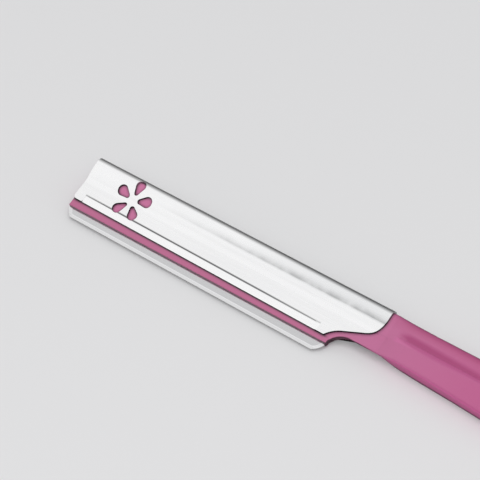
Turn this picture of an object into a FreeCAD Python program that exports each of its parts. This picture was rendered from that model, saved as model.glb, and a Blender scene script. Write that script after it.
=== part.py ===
"""Eyebrow razor: a fixed blade in a slim moulded handle, with a folded sheet holder over its head.

Every piece is drawn flat, about the mid plane of the blade: X runs from the tip to the tail, Y is
zero at the back of the fold and falls towards the cutting edge, Z is zero in the middle of the
blade and rises to the front.  Each piece is then turned about X by the rest angle and set down, so
that the finished razor lies on the flat rear of its handle with +Z up.
"""
import FreeCAD, Part
import math
import os
import re
import Sketcher

DOC = FreeCAD.newDocument("EyebrowRazor")

# Driving dimensions in millimetres and degrees, one group for each piece
DIMENSIONS = {
    # Whole razor
    "total_length": 148.0,
    "rest_angle": 12.4,
    "fit": 0.03,
    "overrun": 3.0,
    # Blade holder, a sheet folded over the head
    "holder_edge": 8.4,
    "sheet_thickness": 0.25,
    "fold_half_thickness": 2.9,
    "fold_radius": 1.0,
    "crown_angle": 13.0,
    "kink_across": 4.2,
    "kink_height": 1.64,
    "kink_radius": 3.0,
    "edge_height": 0.92,
    "holder_taper": 0.55,
    "heel_hollow_radius": 4.7,
    "shoulder_across": 2.1,
    "shoulder_radius": 3.4,
    "shoulder_angle": 23.0,
    "shoulder_straight": 3.6,
    "tip_corner_radius": 0.6,
    # Coined strip along the front leaf's edge
    "coin_start": 1.7,
    "coin_heel_gap": 1.65,
    "coin_width": 1.26,
    "coin_depth": 0.1,
    "coin_corner_radius": 0.9,
    # Flower of teardrop openings through the front leaf
    "flower_along": 8.9,
    "flower_across": 4.05,
    "petal_reach": 2.5,
    "petal_radius": 0.84,
    "petal_inner_reach": 1.25,
    "petal_inner_radius": 0.38,
    # Head of the handle
    "tip_recess": 0.12,
    "lip_width": 0.91,
    "lip_run_on": 1.0,
    "lip_taper": 0.24,
    "neck_arc_radius": 3.0,
    "neck_edge": 7.15,
    "neck_margin": 1.1,
    "neck_draft": 30.0,
    "neck_edge_radius": 0.25,
    "bay_back_gap": 0.4,
    "bay_heel_gap": 0.35,
    # Locating pegs that pass through the blade
    "peg_radius": 0.8,
    "peg_inset": 1.7,
    "peg_margin": 6.8,
    "peg_length": 0.6,
    "peg_clearance": 0.05,
    # Grip
    "swell_lead": 1.0,
    "spine_inset": 0.12,
    "grip_spine_radius": 1.1,
    "grip_edge_radius": 0.5,
    "grip_draft": 12.0,
    "rest_land": 0.03,
    "belly_run": 40.0,
    "belly_edge": 9.1,
    "tail_edge": 7.8,
    "tail_spine": 1.5,
    "tail_half_thickness": 2.2,
    "tail_round": 3.4,
    # Flute along the grip, one on each side
    "flute_lead": 0.2,
    "flute_run_in": 1.6,
    "flute_tail_gap": 20.0,
    "flute_run_out": 10.0,
    "flute_upper": 2.5,
    "flute_bottom": 3.5,
    "flute_lower": 4.3,
    "flute_depth": 0.45,
    # Blade
    "blade_length": 49.2,
    "blade_width": 6.05,
    "blade_thickness": 0.2,
    "blade_reach": 1.87,
    "blade_taper": 0.48,
    "blade_end_gap": 0.05,
    "blade_tip_slant": 1.1,
    "blade_heel_slant": 1.4,
    "blade_heel_radius": 2.8,
    "blade_corner_radius": 0.6,
    "bevel_width": 0.55,
    "bevel_land": 0.03,
}

PETALS = 5
PEG_SHARES = (0.0, 0.5, 1.0)
SWELL_SHARES = (0.12, 0.3, 0.5, 0.75, 1.0)
TAIL_SHARES = (0.25, 0.5, 0.75, 1.0)
END_TURNS = (26, 48, 66, 78)

SHEET = DOC.addObject("Spreadsheet::Sheet", "dims")
for row, (alias, number) in enumerate(DIMENSIONS.items(), start=1):
    SHEET.set("A%d" % row, alias)
    SHEET.set("B%d" % row, str(number))
    SHEET.setAlias("B%d" % row, alias)
DOC.recompute()


# Places along the razor from its tip: the blade sets the head's length, and the head the neck's
BLADE_TIP = "(tip_recess + fit)"
BLADE_HEEL = "(%s + blade_length)" % BLADE_TIP
BAY_END = "(%s + bay_heel_gap)" % BLADE_HEEL
LIP_CUSP = "(%s + blade_end_gap)" % BLADE_HEEL
HOLDER_CUSP = "(%s - lip_run_on)" % LIP_CUSP
COIN_END = "(%s - coin_heel_gap)" % HOLDER_CUSP

# Places across the razor from the back of the fold
LIP_EDGE = "(holder_edge + lip_width)"
BLADE_EDGE = "(%s + blade_reach)" % LIP_EDGE
BLADE_BACK = "(%s - blade_width)" % BLADE_EDGE
BAY_ACROSS = "(%s - bay_back_gap)" % BLADE_BACK
PEG_ACROSS = "(%s + peg_inset)" % BLADE_BACK

# The head narrows a little towards its tip: places across it there
HOLDER_TIP_EDGE = "(holder_edge - holder_taper)"
LIP_TIP_EDGE = "(%s - lip_taper)" % LIP_EDGE
BLADE_TIP_EDGE = "(%s - blade_taper)" % BLADE_EDGE

# The holder's heel: a hollow that starts at the cusp, a straight slope and a round shoulder
SLOPE_ACROSS = "(shoulder_across + shoulder_radius * cos(shoulder_angle))"
HOLLOW_ACROSS = "(%s + shoulder_straight * sin(shoulder_angle))" % SLOPE_ACROSS
HOLLOW_DEPTH = "(%s + heel_hollow_radius * cos(shoulder_angle) - holder_edge)" % HOLLOW_ACROSS
HOLLOW_ALONG = ("(%s + sqrt(heel_hollow_radius^2 - %s^2) - heel_hollow_radius * sin(shoulder_angle))"
                % (HOLDER_CUSP, HOLLOW_DEPTH))
SLOPE_ALONG = "(%s + shoulder_straight * cos(shoulder_angle))" % HOLLOW_ALONG
HOLDER_LENGTH = "(%s + shoulder_radius * (1 - sin(shoulder_angle)))" % SLOPE_ALONG

# Places along the grip
NECK_END = "(%s + neck_margin)" % HOLDER_LENGTH
SWELL_START = "(%s + swell_lead)" % NECK_END
BELLY_ALONG = "(%s + belly_run)" % NECK_END
FLUTE_START = "(%s + flute_lead)" % NECK_END
FLUTE_END = "(total_length - flute_tail_gap)"


# Expressions that name cells of the sheet

def bound(text):
    """The expression text with each cell's name led by the sheet's own name."""
    return re.sub(r"[a-z][a-z_]+", lambda m: "dims." + m[0] if m[0] in DIMENSIONS else m[0], text)


def value(text):
    """The number that an expression gives now."""
    result = SHEET.evalExpression(bound(text))
    return float(getattr(result, "Value", result))


def bind(item, name, text):
    """Ties one property to the sheet."""
    item.setExpression(name, bound(text))


# Sketches

def slanted(tip_edge, end_edge, end, along):
    """The distance across, at some place along, of an edge that slants from the tip to its end."""
    return "(%s + (%s - %s) * %s / %s)" % (tip_edge, end_edge, tip_edge, along, end)


def new_body(name):
    body = DOC.addObject("PartDesign::Body", name)
    body.Label = name
    return body


def new_sketch(body, name, role, offset=None):
    """A sketch on one of the body's own origin planes, moved along the plane's normal."""
    plane = next(item for item in body.Origin.OriginFeatures if item.Role == role)
    sketch = body.newObject("Sketcher::SketchObject", name)
    sketch.AttachmentSupport = [(plane, "")]
    sketch.MapMode = "FlatFace"
    if offset:
        bind(sketch, "AttachmentOffset.Base.z", offset)
    return sketch


def fix(sketch, kind, geometry, end, text):
    """Holds one coordinate of a point at the expression's value."""
    amount = value(text)
    if amount == 0:
        axis = -2 if kind == "DistanceX" else -1
        sketch.addConstraint(Sketcher.Constraint("PointOnObject", geometry, end, axis))
        return
    if amount > 0:
        rule = Sketcher.Constraint(kind, -1, 1, geometry, end, amount)
    else:
        rule = Sketcher.Constraint(kind, geometry, end, -1, 1, -amount)
    index = sketch.addConstraint(rule)
    bind(sketch, "Constraints[%d]" % index, text if amount > 0 else "-(" + text + ")")


def arc_between(start, finish, radius, side):
    """The arc of under half a turn between two points, and the ends that come first and last."""
    chord = finish - start
    across = FreeCAD.Vector(-chord.y, chord.x, 0).normalize()
    height = math.sqrt(max(radius ** 2 - chord.Length ** 2 / 4, 0))
    centre = start + chord / 2 + across * height * (1 if side == "left" else -1)
    first = math.atan2(start.y - centre.y, start.x - centre.x)
    last = math.atan2(finish.y - centre.y, finish.x - centre.x)
    circle = Part.Circle(centre, FreeCAD.Vector(0, 0, 1), radius)
    if side == "left":
        return Part.ArcOfCircle(circle, first, last), 1, 2
    return Part.ArcOfCircle(circle, last, first), 2, 1


def trace(sketch, points):
    """Draws a closed outline and ties every corner of it to the sheet.

    A point is (x, y), reached by a line from the point before it, or (x, y, radius, side), reached
    by an arc with its centre on that side of the path.
    """
    places = [FreeCAD.Vector(value(point[0]), value(point[1]), 0) for point in points]
    edges = []
    for place, point in enumerate(points):
        if len(point) == 2:
            shape, first, last = Part.LineSegment(places[place - 1], places[place]), 1, 2
        else:
            radius = value(point[2])
            shape, first, last = arc_between(places[place - 1], places[place], radius, point[3])
        edges.append((sketch.addGeometry(shape, False), first, last))
    for place, (point, (index, first, last)) in enumerate(zip(points, edges)):
        before = edges[place - 1]
        sketch.addConstraint(Sketcher.Constraint("Coincident", before[0], before[2], index, first))
        fix(sketch, "DistanceX", index, last, point[0])
        fix(sketch, "DistanceY", index, last, point[1])
        if len(point) > 2:
            rule = sketch.addConstraint(Sketcher.Constraint("Radius", index, value(point[2])))
            bind(sketch, "Constraints[%d]" % rule, point[2])
    return sketch


def ring(sketch, along, across, radius):
    """A circle tied to the sheet."""
    centre = FreeCAD.Vector(value(along), value(across), 0)
    index = sketch.addGeometry(Part.Circle(centre, FreeCAD.Vector(0, 0, 1), value(radius)), False)
    fix(sketch, "DistanceX", index, 3, along)
    fix(sketch, "DistanceY", index, 3, across)
    rule = sketch.addConstraint(Sketcher.Constraint("Radius", index, value(radius)))
    bind(sketch, "Constraints[%d]" % rule, radius)


# Features

def pad(body, sketch, length, symmetric=False, reverse=False):
    feature = body.newObject("PartDesign::Pad", sketch.Name + "_pad")
    feature.Profile = sketch
    feature.Midplane = symmetric
    feature.Reversed = reverse
    bind(feature, "Length", length)
    DOC.recompute()
    return feature


def pocket(body, sketch, length, symmetric=False, reverse=False):
    """A cut, which has to take something away."""
    before = body.Shape.Volume
    feature = body.newObject("PartDesign::Pocket", sketch.Name + "_cut")
    feature.Profile = sketch
    feature.Midplane = symmetric
    feature.Reversed = reverse
    bind(feature, "Length", length)
    DOC.recompute()
    if not body.Shape.Volume < before:
        raise RuntimeError(feature.Name + " removes nothing")
    return feature


def loft(body, kind, name, sketches):
    feature = body.newObject("PartDesign::" + kind, name)
    feature.Profile = sketches[0]
    feature.Sections = sketches[1:]
    DOC.recompute()
    return feature


def edge_names(shape, wanted):
    """The names of the edges whose middle point passes the test."""
    names = []
    for number, edge in enumerate(shape.Edges, start=1):
        middle = edge.valueAt((edge.FirstParameter + edge.LastParameter) / 2)
        if wanted(edge, middle):
            names.append("Edge%d" % number)
    return names


def fillet(body, names, radius):
    base = body.Tip
    feature = body.newObject("PartDesign::Fillet", base.Name + "_fillet")
    feature.Base = (base, names)
    bind(feature, "Radius", radius)
    DOC.recompute()
    return feature


# Section of the head: the outline of the folded sheet, moved inwards by some depth

CORE_DEPTH = "(sheet_thickness + fit)"
GRIP_SPINE = "(sheet_thickness + fit + spine_inset)"
LEAF_SLOPE = "((kink_height - edge_height) / (holder_edge - kink_across))"


def leaf_height(across, depth):
    """Height of the leaf's surface at some distance from the back, at some depth in it."""
    return "(kink_height - %s * (%s - kink_across) - %s)" % (LEAF_SLOPE, across, depth)


def crown_point(depth):
    """Where the fold's corner runs out into the crown, as distance from the back and height."""
    corner = "(fold_radius - %s)" % depth
    return ("(fold_radius + %s * sin(crown_angle))" % corner,
            "(fold_half_thickness - fold_radius + %s * cos(crown_angle))" % corner)


def crown_radius(depth):
    """Radius of the arc that leaves the corner smoothly and ends at the kink."""
    across, height = crown_point(depth)
    run = "(kink_across - %s)" % across
    drop = "(%s - kink_height + %s)" % (height, depth)
    return ("((%s^2 + %s^2) / (2 * (%s * cos(crown_angle) - %s * sin(crown_angle))))"
            % (run, drop, drop, run))


def fold_path(depth, edge):
    """From the rear edge of the fold, round its back, to the front edge."""
    crown_across, crown_height = crown_point(depth)
    corner = "(fold_radius - %s)" % depth
    flat = "(fold_half_thickness - fold_radius)"
    kink = "(kink_height - %s)" % depth
    lower = leaf_height(edge, depth)
    return [
        ("-" + edge, "-" + lower),
        ("-kink_across", "-" + kink),
        ("-" + crown_across, "-" + crown_height, crown_radius(depth), "left"),
        ("-" + depth, "-" + flat, corner, "left"),
        ("-" + depth, flat),
        ("-" + crown_across, crown_height, corner, "left"),
        ("-kink_across", kink, crown_radius(depth), "left"),
        ("-" + edge, lower),
    ]


def backwards(path):
    """The same path from its last point to its first, which is reached by a line."""
    turned = [path[-1][:2]]
    for place in range(len(path) - 1, 0, -1):
        target = path[place - 1][:2]
        arc = path[place][2:]
        turned.append(target + ((arc[0], "right") if arc else ()))
    return turned


# Blade holder

def shoulder_points():
    """The holder's heel in plan: from the cusp up a hollow, along a slope and over a shoulder."""
    return [
        (HOLDER_CUSP, "-holder_edge"),
        (HOLLOW_ALONG, "-" + HOLLOW_ACROSS, "heel_hollow_radius", "right"),
        (SLOPE_ALONG, "-" + SLOPE_ACROSS),
        (HOLDER_LENGTH, "-shoulder_across", "shoulder_radius", "left"),
    ]


def petal_points(turn):
    """One teardrop of the flower, its wide end outwards, turned about the flower's centre."""
    angle = "(%s)" % turn
    lean = "asin((petal_radius - petal_inner_radius) / (petal_reach - petal_inner_reach))"

    def place(reach, radius, side):
        out = "(%s - %s * sin(%s))" % (reach, radius, lean)
        across = "(%s * %s * cos(%s))" % (side, radius, lean)
        return ("(flower_along + %s * cos%s - %s * sin%s)" % (out, angle, across, angle),
                "(-flower_across + %s * sin%s + %s * cos%s)" % (out, angle, across, angle))

    def cap(reach, radius):
        return ("(flower_along + (%s + %s) * cos%s)" % (reach, radius, angle),
                "(-flower_across + (%s + %s) * sin%s)" % (reach, radius, angle))

    outer_right = place("petal_reach", "petal_radius", "-1")
    outer_left = place("petal_reach", "petal_radius", "1")
    inner_left = place("petal_inner_reach", "petal_inner_radius", "1")
    inner_right = place("petal_inner_reach", "petal_inner_radius", "-1")
    tip = cap("petal_reach", "petal_radius")
    return [
        outer_right,
        tip + ("petal_radius", "left"),
        outer_left + ("petal_radius", "left"),
        inner_left,
        inner_right + ("petal_inner_radius", "left"),
    ]


def kink_edges(body, depth):
    """The two long edges, front and rear, where the crown meets the leaf at some depth."""
    return edge_names(body.Shape, lambda edge, middle: (
        abs(middle.y + value("kink_across")) < value("fit")
        and abs(abs(middle.z) - value("kink_height - " + depth)) < value("fit")))


def make_blade_holder():
    """The sheet: a tight fold at the back, two leaves, a shaped heel, a flower and a coined edge."""
    body = new_body("blade_holder")
    section = new_sketch(body, "fold_section", "YZ_Plane")
    untrimmed = "(holder_edge + overrun)"
    outside = fold_path("0", untrimmed)
    inside = fold_path("sheet_thickness", untrimmed)
    trace(section, outside + backwards(inside))
    pad(body, section, HOLDER_LENGTH)
    for depth in ("0", "sheet_thickness"):
        fillet(body, kink_edges(body, depth), "kink_radius + %s" % depth)

    heel = new_sketch(body, "heel_outline", "XY_Plane")
    beyond = "(%s + overrun)" % HOLDER_LENGTH
    below = "-(%s + overrun)" % untrimmed
    before = slanted(HOLDER_TIP_EDGE, "holder_edge", HOLDER_CUSP, "-overrun")
    trace(heel, shoulder_points() + [
        (beyond, "-shoulder_across"),
        (beyond, below),
        ("-overrun", below),
        ("-overrun", "-" + before),
    ])
    pocket(body, heel, "2 * (fold_half_thickness + overrun)", symmetric=True)

    flower = new_sketch(body, "flower", "XY_Plane")
    for petal in range(PETALS):
        trace(flower, petal_points("90 + %d * 360 / %d" % (petal, PETALS)))
    pocket(body, flower, "fold_half_thickness + overrun", reverse=True)

    coin = new_sketch(body, "coined_strip", "XY_Plane", "kink_height - coin_depth")
    bind(coin, "AttachmentOffset.Base.y", "-kink_across")
    coin.AttachmentOffset.Rotation.Axis = FreeCAD.Vector(1, 0, 0)
    bind(coin, "AttachmentOffset.Rotation.Angle", "atan(%s)" % LEAF_SLOPE)
    outer = "(holder_edge + overrun - kink_across)"

    def inner(along):
        edge = slanted(HOLDER_TIP_EDGE, "holder_edge", HOLDER_CUSP, along)
        return "((%s - coin_width - kink_across) / cos(atan(%s)))" % (edge, LEAF_SLOPE)

    corner = "(%s - coin_corner_radius)" % COIN_END
    trace(coin, [
        ("coin_start", "-" + inner("coin_start")),
        ("coin_start", "-" + outer),
        (COIN_END, "-" + outer),
        (COIN_END, "-(%s + coin_corner_radius)" % inner(corner)),
        (corner, "-" + inner(corner), "coin_corner_radius", "left"),
    ])
    pocket(body, coin, "fold_half_thickness", reverse=True)

    corners = edge_names(body.Shape, lambda edge, middle: (
        middle.x < value("fit") and middle.y < value("fit - " + HOLDER_TIP_EDGE)
        and edge.Length < value("2 * sheet_thickness")))
    fillet(body, corners, "tip_corner_radius")
    return body


# Head and grip of the handle

def neck_points():
    """What is cut away below the neck: a hollow arc from the lip's cusp, then a straight edge."""
    step = "(%s - neck_edge)" % LIP_EDGE
    run = "sqrt(neck_arc_radius^2 - (neck_arc_radius - %s)^2)" % step
    beyond = "(%s + overrun)" % NECK_END
    below = "-(%s + 2 * overrun)" % LIP_EDGE
    return [
        (LIP_CUSP, "-" + LIP_EDGE),
        ("(%s + %s)" % (LIP_CUSP, run), "-neck_edge", "neck_arc_radius", "right"),
        (beyond, "-neck_edge"),
        (beyond, below),
        (LIP_CUSP, below),
    ]


def trim_lip(body):
    """Cuts the lip to its slanting edge, from the tip to the cusp."""
    outline = new_sketch(body, "lip_outline", "XY_Plane")
    before = slanted(LIP_TIP_EDGE, LIP_EDGE, LIP_CUSP, "-overrun")
    beyond = "(%s + overrun)" % LIP_CUSP
    below = "-(%s + 2 * overrun)" % LIP_EDGE
    trace(outline, [
        ("-overrun", "-" + before),
        ("-overrun", below),
        (beyond, below),
        (beyond, "-" + LIP_EDGE),
        (LIP_CUSP, "-" + LIP_EDGE),
    ])
    pocket(body, outline, "2 * (fold_half_thickness + overrun)", symmetric=True)


def cut_neck(body):
    """Cuts away what lies below the neck, with a side that slants in from the front to the rear."""
    outline = new_sketch(body, "neck_outline", "XY_Plane", leaf_height("neck_edge", CORE_DEPTH))
    trace(outline, neck_points())
    cut = pocket(body, outline, "2 * fold_half_thickness")
    cut.UseCustomVector = True
    bind(cut, "Direction.x", "0")
    bind(cut, "Direction.y", "sin(neck_draft)")
    bind(cut, "Direction.z", "-cos(neck_draft)")
    DOC.recompute()


def floor_reach():
    """How far the fold's crown reaches from the origin, square to the surface the razor lies on."""
    crown_across, crown_height = crown_point("0")
    return ("(%s * sin(rest_angle) + %s * cos(rest_angle) + %s * (1 - cos(rest_angle - crown_angle)))"
            % (crown_across, crown_height, crown_radius("0")))


def resting_half(depth):
    """Half thickness at which the grip's flat side stands a land prouder than the fold it joins."""
    reach = floor_reach()
    centre = "(%s + grip_spine_radius)" % depth
    return ("((%s + rest_land - %s * sin(rest_angle) - grip_spine_radius) / cos(rest_angle)"
            " + grip_spine_radius)" % (reach, centre))


def drafted_side(across, angle, height, draft, radius):
    """The lower side, which slants in from the front to the rear, with a rounding at each end.

    It runs from the front face at some distance across, where that face has the height and falls
    by the angle, and gives the two ends of both roundings as distance across and height.
    """
    wall = "(2 * %s / (cos(%s) - tan(%s) * sin(%s)))" % (height, draft, angle, draft)
    rear_across = "(%s - %s * sin(%s))" % (across, wall, draft)
    rear_height = "(%s - %s * cos(%s))" % (height, wall, draft)
    front_reach = "(%s / tan((90 deg - %s * 1 deg + %s) / 2))" % (radius, draft, angle)
    rear_reach = "(%s / tan((90 deg + %s * 1 deg + %s) / 2))" % (radius, draft, angle)
    return (
        ("(%s - %s * cos(%s))" % (across, front_reach, angle),
         "(%s + %s * sin(%s))" % (height, front_reach, angle)),
        ("(%s - %s * sin(%s))" % (across, front_reach, draft),
         "(%s - %s * cos(%s))" % (height, front_reach, draft)),
        ("(%s + %s * sin(%s))" % (rear_across, rear_reach, draft),
         "(%s + %s * cos(%s))" % (rear_height, rear_reach, draft)),
        ("(%s - %s * cos(%s))" % (rear_across, rear_reach, angle),
         "(%s - %s * sin(%s))" % (rear_height, rear_reach, angle)),
    )


def handle_section(back, crown, kink, side, crown_arc, corner, edge_radius):
    """A closed section of the handle: front and rear are alike but for the slanting lower side."""
    def at(point, sign=""):
        return "-" + point[0], sign + point[1]

    arc = (crown_arc, "left") if crown_arc else ()
    front_face, front_wall, rear_wall, rear_face = side
    return [
        at(rear_wall),
        at(rear_face) + (edge_radius, "left"),
        at(kink, "-"),
        at(crown, "-") + arc,
        at(back, "-") + (corner, "left"),
        at(back),
        at(crown) + (corner, "left"),
        at(kink) + arc,
        at(front_face),
        at(front_wall) + (edge_radius, "left"),
    ]


def neck_section():
    """The head's own section, cut off at the neck and rounded there."""
    return handle_section(
        back=(CORE_DEPTH, "(fold_half_thickness - fold_radius)"),
        crown=crown_point(CORE_DEPTH),
        kink=("kink_across", "(kink_height - %s)" % CORE_DEPTH),
        side=drafted_side("neck_edge", "atan(%s)" % LEAF_SLOPE,
                          leaf_height("neck_edge", CORE_DEPTH), "neck_draft", "neck_edge_radius"),
        crown_arc=crown_radius(CORE_DEPTH),
        corner="(fold_radius - %s)" % CORE_DEPTH,
        edge_radius="neck_edge_radius")


def wedge_height(spine, half, across):
    """Height of the grip's flat side, which leaves the spine's rounding at the rest angle."""
    crown_across = "(%s + grip_spine_radius * (1 + sin(rest_angle)))" % spine
    crown_height = "(%s - grip_spine_radius * (1 - cos(rest_angle)))" % half
    return "(%s - tan(rest_angle) * (%s - %s))" % (crown_height, across, crown_across)


def grip_section(spine, edge, half, scale="1"):
    """A wedge with a rounded spine and a rounded thin edge, drawn in about its middle by a scale."""
    middle = "((%s + %s) / 2)" % (spine, edge)

    def drawn_in(point):
        return ("(%s + %s * (%s - %s))" % (middle, scale, point[0], middle),
                "(%s * %s)" % (scale, point[1]))

    crown_across = "(%s + grip_spine_radius * (1 + sin(rest_angle)))" % spine
    side = drafted_side(edge, "(rest_angle * 1 deg)", wedge_height(spine, half, edge),
                        "grip_draft", "grip_edge_radius")
    return handle_section(
        back=drawn_in((spine, "(%s - grip_spine_radius)" % half)),
        crown=drawn_in((crown_across, wedge_height(spine, half, crown_across))),
        kink=drawn_in(("kink_across", wedge_height(spine, half, "kink_across"))),
        side=[drawn_in(point) for point in side],
        crown_arc=None,
        corner="(%s * grip_spine_radius)" % scale,
        edge_radius="(%s * grip_edge_radius)" % scale)


def eased(share):
    """A share that starts and ends gently."""
    return 3 * share ** 2 - 2 * share ** 3


def swelling(share):
    """A share that starts at half its mean pace and ends gently."""
    return (share + 4 * share ** 2 - 3 * share ** 3) / 2


def grip_stations():
    """Places along the grip, each with its spine, thin edge, half thickness and scale there."""
    half = resting_half(GRIP_SPINE)
    for share in SWELL_SHARES:
        yield ("(%s + %g * (%s - %s))" % (SWELL_START, share, BELLY_ALONG, SWELL_START),
               GRIP_SPINE,
               "(neck_edge + %g * (belly_edge - neck_edge))" % swelling(share),
               half,
               "1")
    for share in TAIL_SHARES:
        rest = eased(share)
        yield ("(%s + %g * (total_length - tail_round - %s))" % (BELLY_ALONG, share, BELLY_ALONG),
               "(%s + %g * (tail_spine - %s))" % (GRIP_SPINE, rest, GRIP_SPINE),
               "(belly_edge + %g * (tail_edge - belly_edge))" % rest,
               "(%s + %g * (tail_half_thickness - %s))" % (half, rest, half),
               "1")
    for turn in END_TURNS:
        reach = math.sin(math.radians(turn)) / math.sin(math.radians(END_TURNS[-1]))
        yield ("(total_length - tail_round * %g)" % (1 - reach),
               "tail_spine", "tail_edge", "tail_half_thickness",
               "%g" % math.cos(math.radians(turn)))


def flute_section(sketch, depth, sign):
    """A lopsided groove, steep towards the spine, whose sides run on above the surface."""
    upper = "(2 * flute_upper - flute_bottom)"
    lower = "(2 * flute_lower - flute_bottom)"

    def height(across, rise):
        return "%s(%s %s)" % (sign, wedge_height(GRIP_SPINE, resting_half(GRIP_SPINE), across), rise)

    points = [
        ("-flute_bottom", height("flute_bottom", "- " + depth)),
        ("-" + upper, height(upper, "+ flute_depth")),
        ("-" + lower, height(lower, "+ flute_depth")),
    ]
    return trace(sketch, points)


def cut_flute(body, name, sign):
    """One flute, which runs in and out of the side gently."""
    stations = [
        (FLUTE_START, "0"),
        ("(%s + flute_run_in)" % FLUTE_START, "flute_depth"),
        ("(%s - flute_run_out)" % FLUTE_END, "flute_depth"),
        (FLUTE_END, "0"),
    ]
    sections = []
    for number, (along, depth) in enumerate(stations):
        sketch = new_sketch(body, "%s_section_%d" % (name, number), "YZ_Plane", along)
        sections.append(flute_section(sketch, depth, sign))
    before = body.Shape.Volume
    feature = loft(body, "SubtractiveLoft", name, sections)
    feature.Ruled = True
    DOC.recompute()
    if not body.Shape.Volume < before:
        raise RuntimeError(name + " removes nothing")


def peg_places():
    """Places of the pegs along the head, the outer two as far from the ends of the blade."""
    for share in PEG_SHARES:
        yield "(%s + peg_margin + %g * (blade_length - 2 * peg_margin))" % (BLADE_TIP, share)


def make_handle():
    """The moulded handle: the head that carries the blade, the neck and the grip."""
    body = new_body("handle")
    head = new_sketch(body, "head_section", "YZ_Plane", "tip_recess")
    trace(head, fold_path(CORE_DEPTH, "(%s + lip_width)" % LIP_EDGE))
    pad(body, head, "%s - tip_recess" % NECK_END)

    trim_lip(body)
    cut_neck(body)
    bay = new_sketch(body, "blade_bay", "YZ_Plane", "-overrun")
    floor = "(blade_thickness / 2)"
    deep = "-(fold_half_thickness + overrun)"
    inner = "-" + BAY_ACROSS
    outer = "-(%s + 2 * overrun)" % LIP_EDGE
    trace(bay, [(inner, floor), (outer, floor), (outer, deep), (inner, deep)])
    pocket(body, bay, "%s + overrun" % BAY_END, reverse=True)

    pegs = new_sketch(body, "pegs", "XY_Plane", "blade_thickness / 2")
    for along in peg_places():
        ring(pegs, along, "-" + PEG_ACROSS, "peg_radius")
    pad(body, pegs, "blade_thickness + peg_length", reverse=True)

    rims = edge_names(body.Shape, lambda edge, middle: (
        value(LIP_CUSP) < middle.x < value(NECK_END + " - fit")
        and abs(middle.z) > value("neck_edge_radius")
        and value("-" + LIP_EDGE) < middle.y < value("fit - neck_edge + 2 * kink_height * tan(neck_draft)")
        and edge.Length > value("neck_arc_radius / 2")))
    fillet(body, rims, "neck_edge_radius")

    sections = [trace(new_sketch(body, "grip_section_0", "YZ_Plane", NECK_END), neck_section())]
    for number, (along, *shape) in enumerate(grip_stations(), start=1):
        sketch = new_sketch(body, "grip_section_%d" % number, "YZ_Plane", along)
        sections.append(trace(sketch, grip_section(*shape)))
    loft(body, "AdditiveLoft", "grip", sections)

    flat = new_sketch(body, "rest_flat", "YZ_Plane", NECK_END)
    half = resting_half(GRIP_SPINE)
    near = "-overrun"
    far = "(belly_edge + overrun)"
    land = "rest_land / cos(rest_angle)"
    trace(flat, [
        ("overrun", "-(%s - %s)" % (wedge_height(GRIP_SPINE, half, near), land)),
        ("overrun", "-(%s + overrun)" % wedge_height(GRIP_SPINE, half, near)),
        ("-" + far, "-(%s + 2 * overrun)" % wedge_height(GRIP_SPINE, half, far)),
        ("-" + far, "-(%s - %s)" % (wedge_height(GRIP_SPINE, half, far), land)),
    ])
    pocket(body, flat, "total_length - %s + overrun" % NECK_END, reverse=True)
    cut_flute(body, "front_flute", "")
    cut_flute(body, "rear_flute", "-")
    return body


# Rear half of the head, which shuts the blade in

def make_blade_backing():
    body = new_body("blade_backing")
    section = new_sketch(body, "backing_section", "YZ_Plane", "tip_recess")
    inner = "(%s + fit)" % BAY_ACROSS
    outer = "(%s + lip_width)" % LIP_EDGE
    face = "-(blade_thickness / 2 + fit)"
    trace(section, [
        ("-" + inner, face),
        ("-" + outer, face),
        ("-" + outer, "-" + leaf_height(outer, CORE_DEPTH)),
        ("-" + inner, "-" + leaf_height(inner, CORE_DEPTH)),
    ])
    pad(body, section, "%s - fit - tip_recess" % BAY_END)
    trim_lip(body)
    cut_neck(body)
    holes = new_sketch(body, "backing_holes", "XY_Plane")
    for along in peg_places():
        ring(holes, along, "-" + PEG_ACROSS, "(peg_radius + fit)")
    pocket(body, holes, "2 * (fold_half_thickness + overrun)", symmetric=True)
    return body


# Blade

def make_blade():
    """A thin strip with slanted ends, ground along its edge, held by the pegs."""
    body = new_body("blade")
    outline = new_sketch(body, "blade_outline", "XY_Plane")
    trace(outline, [
        (BLADE_TIP, "-" + BLADE_BACK),
        (BLADE_TIP, "-" + LIP_EDGE),
        ("(%s + blade_tip_slant)" % BLADE_TIP, "-" + BLADE_TIP_EDGE),
        ("(%s - blade_heel_slant)" % BLADE_HEEL, "-" + BLADE_EDGE),
        (BLADE_HEEL, "-" + LIP_EDGE, "blade_heel_radius", "left"),
        (BLADE_HEEL, "-" + BLADE_BACK),
    ])
    pad(body, outline, "blade_thickness", symmetric=True)
    corners = edge_names(body.Shape, lambda edge, middle: (
        abs(middle.z) < value("fit") and middle.y < value("fit - " + BLADE_TIP_EDGE)
        and edge.Length < value("2 * blade_thickness")))
    fillet(body, corners, "blade_corner_radius")
    ground = edge_names(body.Shape, lambda edge, middle: (
        abs(abs(middle.z) - value("blade_thickness / 2")) < value("bevel_land")
        and middle.y < value("-" + LIP_EDGE)))
    strip = body.Tip
    bevel = body.newObject("PartDesign::Chamfer", "bevel")
    bevel.Base = (strip, ground)
    bevel.ChamferType = "Two distances"
    bind(bevel, "Size", "(blade_thickness - bevel_land) / 2")
    bind(bevel, "Size2", "bevel_width")
    DOC.recompute()
    holes = new_sketch(body, "blade_holes", "XY_Plane")
    for along in peg_places():
        ring(holes, along, "-" + PEG_ACROSS, "(peg_radius + peg_clearance)")
    pocket(body, holes, "2 * blade_thickness", symmetric=True)
    return body


PIECES = [make_handle(), make_blade(), make_blade_backing(), make_blade_holder()]
DOC.recompute()

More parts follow.
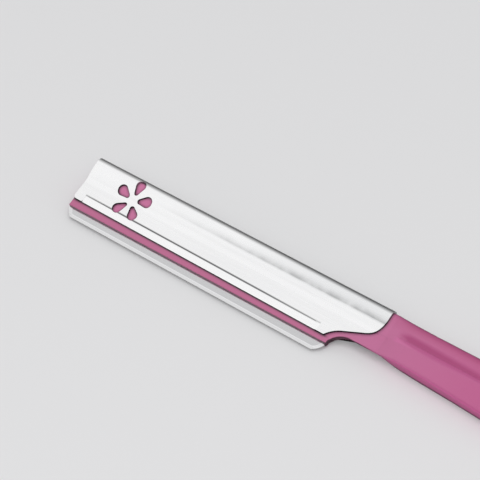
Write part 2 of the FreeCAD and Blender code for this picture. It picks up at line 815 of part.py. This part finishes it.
# Each piece is turned to the rest angle and set down, with the middle of the razor over the origin
FOLD_REACH = "((fold_half_thickness - fold_radius) * sin(rest_angle) + fold_radius * (1 - cos(rest_angle)))"
EDGE_REACH = "(%s * cos(rest_angle))" % BLADE_EDGE
for piece in PIECES:
    piece.Placement = FreeCAD.Placement(FreeCAD.Vector(), FreeCAD.Rotation(FreeCAD.Vector(1, 0, 0), 1))
    bind(piece, "Placement.Rotation.Angle", "rest_angle * 1 deg")
    bind(piece, "Placement.Base.x", "-total_length / 2")
    bind(piece, "Placement.Base.y", "(%s - %s) / 2" % (EDGE_REACH, FOLD_REACH))
    bind(piece, "Placement.Base.z", floor_reach())
DOC.recompute()

for item in DOC.Objects:
    if "Invalid" in item.State or "Error" in item.State:
        raise RuntimeError("%s failed: %s" % (item.Name, item.State))
for piece in PIECES:
    if piece.Shape.isNull() or not piece.Shape.isValid() or len(piece.Shape.Solids) != 1:
        raise RuntimeError(piece.Label + " is not one sound solid")

os.makedirs("parts", exist_ok=True)
for piece in PIECES:
    piece.Shape.exportStep("parts/%s.step" % piece.Label)
    box = piece.Shape.optimalBoundingBox(False, False)
    print("%-14s %7.1f mm3, X %.2f %.2f, Y %.2f %.2f, Z %.2f %.2f" % (
        piece.Label, piece.Shape.Volume, box.XMin, box.XMax, box.YMin, box.YMax, box.ZMin, box.ZMax))
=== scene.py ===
"""Eyebrow razor: materials, floor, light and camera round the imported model, in metres.

The razor lies along X on the floor at Z zero, its tip towards -X and its cutting edge towards -Y.
"""
import math
import bpy
from mathutils import Matrix, Vector

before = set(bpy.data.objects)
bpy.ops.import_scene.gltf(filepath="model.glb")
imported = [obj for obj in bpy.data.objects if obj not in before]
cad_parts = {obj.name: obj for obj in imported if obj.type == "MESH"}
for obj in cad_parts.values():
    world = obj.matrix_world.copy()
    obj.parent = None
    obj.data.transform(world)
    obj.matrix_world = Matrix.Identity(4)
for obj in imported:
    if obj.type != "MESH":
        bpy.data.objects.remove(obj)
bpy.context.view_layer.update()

MM = 0.001

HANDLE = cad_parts["handle"]
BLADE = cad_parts["blade"]
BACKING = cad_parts["blade_backing"]
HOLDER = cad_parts["blade_holder"]


# The razor's own slanting frame: along from its tip, across from the fold's back

REST_ANGLE = math.radians(12.4)
BLADE_PLANE = Vector((-74.0, 5.244, 3.07)) * MM
TIP = BLADE_PLANE.x

# Straight lines that run down the razor: how far across they are at the tip, and their slope
SHEET_EDGE = (7.85, 0.55 / 49.0)
COIN_STEP = (6.59, 0.55 / 49.0)
BLADE_EDGE = (10.7, 0.48 / 47.0)
FLUTE_LINE = (1.30, 0.03)

# Narrow bands: where their middle is, and half their width
SHEET_SHADOW_BAND = (0.02 * MM, 0.28 * MM)
FLUTE_BAND = (0.0, 0.78 * MM)
COIN_BAND = (0.0, 0.19 * MM)
PRESSED_BAND = (1.75 * MM, 0.45 * MM)
CORNER_REACH = 0.55 * MM

# Soft steps along the razor, from where to where in millimetres
HEAD_END = (46.0, 54.0)
TAIL_SHEEN_FADE = (50.0, 78.0)
LAND_START = (54.0, 60.0)
GRIP_START = (58.0, 58.7)
FLUTE_START = (58.3, 60.5)
SPINE_START = (56.0, 57.0)
NECK_START, NECK_END = (48.0, 49.5), (54.0, 57.0)
SHEET_SHADOW_END = (48.6, 49.2)
TUCKED_END = (56.0, 58.0)
CORE_END = (44.0, 45.0)
COIN_START, COIN_END = (1.6, 1.75), (46.9, 47.1)
FAINT_START, FAINT_END = (1.6, 9.0), (36.0, 47.0)
CROWN_LINE_START = (12.0, 38.0)
SHADED_HEEL = (26.0, 46.0)

# Soft steps across the razor
SPINE_LAND = (1.6, 2.8)
SPINE_LINE_END = (1.3, 1.5)
FLUTE_WALL_START, FLUTE_WALL_END = (3.45, 3.75), (4.25, 4.5)
BELOW_FLUTE = (4.5, 5.5)
CORE_EDGE = (7.2, 7.4)
CROWN_LINE_UPPER, CROWN_LINE_LOWER = (1.5, 2.78), (2.8, 3.2)
CROWN_END = (2.4, 3.4)
FOLD_END = (2.0, 2.5)
PRESSED_EDGE = (7.55, 7.65)

# Soft steps in height over the floor
FOOT_TOP = (0.4, 1.1)

# Soft steps and a band in flatness, from walls to faces
GRIP_SIDE, ARCH_WALL, CUT_EDGE = (0.3, 0.6), (0.35, 0.8), (0.25, 0.6)
SPINE_BAND = (0.62, 0.28)


# Materials

class Nodes:
    """A procedural material and short ways to add nodes to it."""

    def __init__(self, name):
        self.material = bpy.data.materials.new(name)
        self.material.use_nodes = True
        self.tree = self.material.node_tree
        self.shader = self.tree.nodes["Principled BSDF"]
        self.place = self.add("ShaderNodeTexCoord").outputs["Object"]
        self.normal = self.add("ShaderNodeNewGeometry").outputs["Normal"]

    def add(self, kind, **inputs):
        node = self.tree.nodes.new(kind)
        for name, value in inputs.items():
            self.give(node, name, value)
        return node

    def give(self, node, name, value):
        socket = node.inputs[name]
        if isinstance(value, bpy.types.NodeSocket):
            self.tree.links.new(value, socket)
        else:
            socket.default_value = value

    def set(self, **values):
        """Sets the shader's own sockets, with underscores for the spaces of their names."""
        for name, value in values.items():
            self.give(self.shader, name.replace("_", " "), value)

    def along_axis(self, axis, offset, source=None):
        """How far the surface, or its normal, reaches along an axis."""
        node = self.add("ShaderNodeVectorMath")
        node.operation = "DOT_PRODUCT"
        self.tree.links.new(source or self.place, node.inputs[0])
        node.inputs[1].default_value = axis
        return self.sum(node.outputs["Value"], 1.0, -offset)

    def sum(self, value, factor, added):
        """The value times a factor, plus something."""
        node = self.add("ShaderNodeMath")
        node.operation = "MULTIPLY_ADD"
        for socket, item in enumerate((value, factor, added)):
            self.give(node, socket, item)
        return node.outputs[0]

    def times(self, first, *others):
        """The product of some values."""
        for other in others:
            first = self.sum(first, other, 0.0)
        return first

    def size_of(self, value):
        """The value without its sign."""
        node = self.add("ShaderNodeMath")
        node.operation = "ABSOLUTE"
        self.give(node, 0, value)
        return node.outputs[0]

    def along(self):
        """Metres from the razor's tip."""
        return self.along_axis((1.0, 0.0, 0.0), TIP)

    def across(self):
        """Metres from the back of the fold towards the cutting edge."""
        axis = Vector((0.0, -math.cos(REST_ANGLE), -math.sin(REST_ANGLE)))
        return self.along_axis(axis, axis.dot(BLADE_PLANE))

    def height(self):
        """Metres over the floor."""
        return self.along_axis((0.0, 0.0, 1.0), 0.0)

    def flatness(self):
        """One where the surface faces squarely to front or rear, zero on walls and cut edges."""
        axis = (0.0, -math.sin(REST_ANGLE), math.cos(REST_ANGLE))
        return self.size_of(self.along_axis(axis, 0.0, self.normal))

    def past_line(self, line, along, across):
        """Metres past a straight line, towards the cutting edge."""
        at_tip, slope = line
        return self.sum(self.sum(along, -slope, -at_tip * MM), 1.0, across)

    def stretched(self, scale):
        """Object coordinates scaled along each axis."""
        mapping = self.add("ShaderNodeMapping", Vector=self.place)
        mapping.inputs["Scale"].default_value = scale
        return mapping.outputs["Vector"]

    def noise(self, scale, detail=3.0, spread=0.5):
        node = self.add("ShaderNodeTexNoise", Vector=self.stretched(scale))
        node.inputs["Scale"].default_value = 1.0
        node.inputs["Detail"].default_value = detail
        node.inputs["Roughness"].default_value = spread
        return node.outputs["Fac"]

    def between(self, factor, low, high, start=0.0, end=1.0):
        """A number that runs from low to high as the factor runs from start to end."""
        node = self.add("ShaderNodeMapRange", Value=factor)
        node.inputs["From Min"].default_value = start
        node.inputs["From Max"].default_value = end
        node.inputs["To Min"].default_value = low
        node.inputs["To Max"].default_value = high
        return node.outputs["Result"]

    def after(self, value, step, low=0.0):
        """Low before a soft step and one after it."""
        return self.between(value, low, 1.0, step[0] * MM, step[1] * MM)

    def before(self, value, step, low=0.0):
        """One before a soft step and low after it."""
        return self.between(value, 1.0, low, step[0] * MM, step[1] * MM)

    def ridge(self, value, centre, half_width):
        """One at the centre, falling to zero a half width away on both sides."""
        return self.between(self.size_of(self.sum(value, 1.0, -centre)), 1.0, 0.0, 0.0, half_width)

    def tucked_in(self, reach):
        """One deep in a corner or under an edge, zero where nothing stands within reach."""
        node = self.add("ShaderNodeAmbientOcclusion", Distance=reach)
        node.samples = 12
        return self.between(node.outputs["AO"], 1.0, 0.0, 0.58, 1.0)

    def blend(self, factor, first, second):
        """A colour between two."""
        node = self.tree.nodes.new("ShaderNodeMix")
        node.data_type = "RGBA"
        self.give(node, "Factor", factor)
        for socket, value in ((6, first), (7, second)):
            if isinstance(value, bpy.types.NodeSocket):
                self.tree.links.new(value, node.inputs[socket])
            else:
                node.inputs[socket].default_value = (*value, 1.0)
        return node.outputs[2]

    def painted(self, base, coats):
        """The base under coats, each with where it is, how strong and its colour."""
        for where, strength, colour in coats:
            base = self.blend(self.times(where, strength), base, colour)
        return base

    def bump(self, height, distance, rounding=None):
        """A bump from a height, over edges that look rounded by a radius."""
        node = self.add("ShaderNodeBump", Height=height, Distance=distance)
        if rounding is not None:
            bevel = self.add("ShaderNodeBevel", Radius=rounding)
            bevel.samples = 6
            self.tree.links.new(bevel.outputs["Normal"], node.inputs["Normal"])
        self.give(self.shader, "Normal", node.outputs["Normal"])


def pink_plastic():
    """Glossy moulded plastic, painted paler at the neck as a sheen, with fine rub marks and rounded
    edges.

    Painted shade darkens the flute, the face above it, the line under the sheet's edge, nooks, the
    neck's arc and the grip's lower and upper edges; painted light brightens the flute's lower wall, the
    grip's side wall and the pink seen through the petals.
    """
    m = Nodes("pink_plastic")
    clouds = m.noise((60.0, 160.0, 160.0))
    rubs = m.noise((250.0, 4000.0, 4000.0), detail=2.0)
    along, across, flatness = m.along(), m.across(), m.flatness()
    grip = m.after(along, GRIP_START)
    below_flute = m.after(across, BELOW_FLUTE)

    # Painted shade: the grip's face above the flute is painted darker
    land_shade = m.times(m.before(across, SPINE_LAND), m.after(along, LAND_START))
    # Painted shade: a dark band along the flute, where its upper wall faces away from the light
    flute = m.ridge(m.past_line(FLUTE_LINE, along, across), *FLUTE_BAND)
    flute = m.between(m.times(flute, m.after(along, FLUTE_START)), 0.0, 1.0, 0.0, 0.7)
    # Painted light: the flute's lower wall is painted paler so that it shows no darker stripe
    flute_wall_light = m.times(m.after(across, FLUTE_WALL_START), m.before(across, FLUTE_WALL_END), grip)
    # Painted light: the grip's side wall is painted as pale as its lit face
    side = m.times(m.between(flatness, 1.0, 0.0, *GRIP_SIDE), below_flute, grip)
    # Painted shadow: the bottom of the grip's side wall, close to the floor, is painted near black
    foot_shadow = m.times(m.before(m.height(), FOOT_TOP), side)
    neck = m.times(m.after(along, NECK_START), m.before(along, NECK_END))
    # Painted shade: the wall under the neck's arc is painted near black
    arch_shade = m.times(m.between(flatness, 1.0, 0.0, *ARCH_WALL), below_flute, neck)
    # Painted shade: a dark line along the grip's top edge, where the rounded back turns away
    spine_shade = m.times(m.ridge(flatness, *SPINE_BAND), m.before(across, SPINE_LINE_END),
                    m.after(along, SPINE_START))
    # Painted light: the pink under the holder, seen through the petals, is painted paler against the
    # shade there
    core_light = m.times(m.before(along, CORE_END), m.before(across, CORE_EDGE))
    # Painted shadow: a dark line on the pink just under the sheet's straight edge
    sheet_edge_shadow = m.times(m.ridge(m.past_line(SHEET_EDGE, along, across), *SHEET_SHADOW_BAND),
                   m.before(along, SHEET_SHADOW_END))
    # Painted shade: the pink is painted near black where other surfaces stand close, found by ambient
    # occlusion
    corner_shade = m.times(m.tucked_in(CORNER_REACH), m.before(along, TUCKED_END))

    pink = m.blend(clouds, (0.476, 0.131, 0.273), (0.512, 0.148, 0.304))
    pink = m.painted(pink, (
        # Painted sheen: the neck stays paler, the head and the tail are painted a deeper pink
        (m.after(along, TAIL_SHEEN_FADE), 1.0, (0.455, 0.076, 0.222)),
        (m.before(along, HEAD_END), 0.6, (0.445, 0.100, 0.212)),
        (land_shade, 0.55, (0.390, 0.055, 0.165)),
        (flute, 0.8, (0.330, 0.028, 0.140)),
        (flute_wall_light, 0.8, (0.540, 0.125, 0.300)),
        (side, 0.85, (0.630, 0.110, 0.325)),
        (foot_shadow, 0.85, (0.040, 0.008, 0.022)),
        (arch_shade, 0.92, (0.035, 0.005, 0.015)),
        (spine_shade, 0.7, (0.08, 0.012, 0.04)),
        (core_light, 0.8, (0.560, 0.150, 0.320)),
        (sheet_edge_shadow, 0.9, (0.03, 0.012, 0.02)),
        (corner_shade, 0.95, (0.02, 0.004, 0.012)),
    ))
    m.set(Base_Color=pink,
          Roughness=m.between(rubs, 0.30, 0.35, 0.3, 0.7),
          Specular_IOR_Level=0.75)
    m.bump(clouds, 0.00001, rounding=m.between(along, 0.15 * MM, 0.5 * MM, 48.0 * MM, 56.0 * MM))
    return m.material


def holder_metal():
    """Bright satin sheet, brushed along its length, with rough cut edges painted near black as shade.

    The coined strip is painted brighter as a highlight and a painted shade line sits at its step.  A
    faint painted dark reflection runs along the crown, stronger towards the heel.
    """
    m = Nodes("holder_metal")
    brushing = m.noise((120.0, 9000.0, 9000.0), detail=4.0)
    haze = m.noise((90.0, 420.0, 420.0))
    patchy = m.between(m.noise((350.0, 500.0, 500.0)), 0.3, 1.0, 0.3, 0.7)
    along, across = m.along(), m.across()

    from_step = m.past_line(COIN_STEP, along, across)
    ends = m.times(m.after(along, COIN_START), m.before(along, COIN_END))
    # Painted highlight: the coined strip is painted brighter than the rest of the sheet
    strip = m.times(m.between(from_step, 0.0, 1.0, 0.0, 0.1 * MM), ends)
    # Painted shade: a dark line along the coined strip's step
    line = m.times(m.ridge(from_step, *COIN_BAND), ends,
                   m.after(along, FAINT_START, 0.5), m.before(along, FAINT_END, 0.45))
    # Painted reflection: a faint, patchy dark line along the crown, stronger towards the heel
    reflection_band = m.times(m.after(across, CROWN_LINE_UPPER), m.before(across, CROWN_LINE_LOWER))
    crown_reflection = m.times(reflection_band, reflection_band, m.after(along, CROWN_LINE_START), patchy)
    shaded = m.times(m.before(across, CROWN_END), m.after(along, SHADED_HEEL))
    pressed_end = m.times(m.ridge(along, *PRESSED_BAND), m.before(across, PRESSED_EDGE))
    # Painted shade: the cut edges and the petals' walls are painted near black, and made rougher
    dull_shaded_edges = m.times(m.between(m.flatness(), 1.0, 0.0, *CUT_EDGE), m.after(across, FOLD_END),
                      m.between(pressed_end, 1.0, 0.0, 0.0, 0.2))

    metal = m.blend(haze, (0.90, 0.90, 0.91), (0.95, 0.95, 0.955))
    metal = m.painted(metal, (
        (shaded, 0.9, (0.82, 0.825, 0.835)),
        (strip, 0.9, (0.985, 0.985, 0.99)),
        (crown_reflection, 0.8, (0.30, 0.305, 0.31)),
        (line, 0.9, (0.07, 0.07, 0.075)),
        (dull_shaded_edges, 1.0, (0.03, 0.028, 0.03)),
    ))
    m.set(Base_Color=metal,
          Metallic=1.0,
          Roughness=m.sum(dull_shaded_edges, 0.3, m.between(brushing, 0.24, 0.34, 0.3, 0.7)))
    m.bump(brushing, 0.000002)
    return m.material


def blade_steel():
    """Ground steel strip, a shade greyer than the holder, with a darker and plainer ground edge."""
    m = Nodes("blade_steel")
    grinding = m.noise((500.0, 7000.0, 7000.0), detail=4.0)
    from_edge = m.past_line(BLADE_EDGE, m.along(), m.across())
    ground = m.between(from_edge, 0.0, 1.0, -0.50 * MM, -0.40 * MM)
    steel = m.blend(grinding, (0.80, 0.80, 0.815), (0.86, 0.86, 0.875))
    m.set(Base_Color=m.blend(ground, steel, (0.75, 0.75, 0.76)),
          Metallic=1.0,
          Roughness=m.between(grinding, 0.16, 0.24, 0.3, 0.7))
    m.bump(grinding, 0.0000008)
    return m.material


def dress(piece, material):
    """Gives every slot of a piece the material."""
    if not piece.material_slots:
        piece.data.materials.append(material)
    for slot in piece.material_slots:
        slot.material = material


PINK = pink_plastic()
dress(HANDLE, PINK)
dress(BACKING, PINK)
dress(HOLDER, holder_metal())
dress(BLADE, blade_steel())


# Floor, light and camera

LOOKED_AT = Vector((-49.14, 7.545, 0.2)) * MM
AZIMUTH, ELEVATION, ROLL = 35.82, 41.62, 2.05
DISTANCE = 462.2 * MM
LENS, SENSOR = 225.0, 36.0

FLOOR_SIZE = 6.0
FLOOR_TONE = (0.79, 0.79, 0.80, 1.0)
FLOOR_IN_REFLECTIONS = (0.32, 0.32, 0.32, 1.0)
PLAIN_TONE = (0.72, 0.72, 0.727, 1.0)
PLAIN_SHARE = 0.2

# Brightness of the sky by height, and of its reflection from the front to behind the razor
SKY_AS_LIGHT = ((0.0, 0.50), (0.5, 0.50))
SKY_IN_REFLECTIONS = ((-0.85, 0.6), (-0.60, 1.0), (-0.05, 1.0), (0.10, 0.9), (0.30, 0.62), (0.61, 0.38),
                      (0.85, 0.08))


def plain_floor():
    """A pale matt floor and backdrop in one, darker in reflections.

    To the camera a share of it is plain tone, which softens the shadow but keeps it.
    """
    bpy.ops.mesh.primitive_plane_add(size=FLOOR_SIZE, location=(0.0, 0.0, 0.0))
    floor = bpy.context.object
    floor.name = "floor"
    material = bpy.data.materials.new("floor")
    material.use_nodes = True
    tree = material.node_tree
    shader = tree.nodes["Principled BSDF"]
    shader.inputs["Roughness"].default_value = 0.9
    path = tree.nodes.new("ShaderNodeLightPath")
    tone = tree.nodes.new("ShaderNodeMix")
    tone.data_type = "RGBA"
    tree.links.new(path.outputs["Is Glossy Ray"], tone.inputs["Factor"])
    tone.inputs[6].default_value = FLOOR_TONE
    tone.inputs[7].default_value = FLOOR_IN_REFLECTIONS
    tree.links.new(tone.outputs[2], shader.inputs["Base Color"])
    share = tree.nodes.new("ShaderNodeMath")
    share.operation = "MULTIPLY"
    tree.links.new(path.outputs["Is Camera Ray"], share.inputs[0])
    share.inputs[1].default_value = PLAIN_SHARE
    plain = tree.nodes.new("ShaderNodeEmission")
    plain.inputs["Color"].default_value = PLAIN_TONE
    surface = tree.nodes.new("ShaderNodeMixShader")
    tree.links.new(share.outputs[0], surface.inputs["Fac"])
    tree.links.new(shader.outputs["BSDF"], surface.inputs[1])
    tree.links.new(plain.outputs["Emission"], surface.inputs[2])
    tree.links.new(surface.outputs["Shader"], tree.nodes["Material Output"].inputs["Surface"])
    dress(floor, material)


def direction_from(azimuth, elevation):
    """Where to go back to from the razor, by a compass angle from its cutting edge and a height."""
    turn, lift = math.radians(azimuth), math.radians(elevation)
    return Vector((math.sin(turn) * math.cos(lift), -math.cos(turn) * math.cos(lift), math.sin(lift)))


def soft_light(name, azimuth, elevation, distance, size, power):
    """A square area lamp that looks at the head of the razor."""
    data = bpy.data.lights.new(name, "AREA")
    data.shape = "SQUARE"
    data.size = size
    data.energy = power
    lamp = bpy.data.objects.new(name, data)
    lamp.visible_glossy = False
    bpy.context.scene.collection.objects.link(lamp)
    back = direction_from(azimuth, elevation)
    lamp.location = LOOKED_AT + back * distance
    lamp.rotation_euler = back.to_track_quat("Z", "Y").to_euler()


def studio_world():
    """A white studio: bright above and dark behind the razor in reflections, dimmer as a light."""
    world = bpy.data.worlds.new("studio")
    bpy.context.scene.world = world
    world.use_nodes = True
    tree = world.node_tree
    shader = tree.nodes["Background"]
    shader.inputs["Color"].default_value = (1.0, 1.0, 1.0, 1.0)
    path = tree.nodes.new("ShaderNodeLightPath")
    direction = tree.nodes.new("ShaderNodeSeparateXYZ")
    tree.links.new(tree.nodes.new("ShaderNodeTexCoord").outputs["Generated"], direction.inputs["Vector"])

    def ramp(axis, stops):
        """Brightness by how far a direction points along an axis, from -1 to 1."""
        spread = tree.nodes.new("ShaderNodeMapRange")
        spread.inputs["From Min"].default_value = -1.0
        tree.links.new(direction.outputs[axis], spread.inputs["Value"])
        band = tree.nodes.new("ShaderNodeValToRGB")
        tree.links.new(spread.outputs["Result"], band.inputs["Fac"])
        elements = band.color_ramp.elements
        while len(elements) < len(stops):
            elements.new(0.5)
        for element, (place, tone) in zip(elements, stops):
            element.position = (place + 1.0) / 2.0
            element.color = (tone, tone, tone, 1.0)
        return band.outputs["Color"]

    def choose(factor, low, high):
        """The high value where the factor is one, the low one where it is zero."""
        mix = tree.nodes.new("ShaderNodeMix")
        tree.links.new(factor, mix.inputs["Factor"])
        for socket, amount in ((2, low), (3, high)):
            if isinstance(amount, bpy.types.NodeSocket):
                tree.links.new(amount, mix.inputs[socket])
            else:
                mix.inputs[socket].default_value = amount
        return mix.outputs[0]

    seen = choose(path.outputs["Is Glossy Ray"], ramp("Z", SKY_AS_LIGHT), ramp("Y", SKY_IN_REFLECTIONS))
    seen = choose(path.outputs["Is Camera Ray"], seen, 1.0)
    tree.links.new(seen, shader.inputs["Strength"])


def photo_camera():
    """The photograph's view, a little rolled, as a long lens from above the cutting edge's side."""
    back = direction_from(AZIMUTH, ELEVATION)
    level = back.to_track_quat("Z", "Y").to_matrix()
    data = bpy.data.cameras.new("photo_camera")
    data.lens = LENS
    data.sensor_width = SENSOR
    camera = bpy.data.objects.new("photo_camera", data)
    bpy.context.scene.collection.objects.link(camera)
    camera.matrix_world = Matrix.Translation(LOOKED_AT + back * DISTANCE) @ (
        level @ Matrix.Rotation(math.radians(ROLL), 3, "Z")).to_4x4()
    bpy.context.scene.camera = camera


plain_floor()
photo_camera()
soft_light("overhead", azimuth=25.0, elevation=60.0, distance=0.9, size=0.8, power=4.9)
studio_world()
bpy.context.scene.view_settings.view_transform = "Standard"
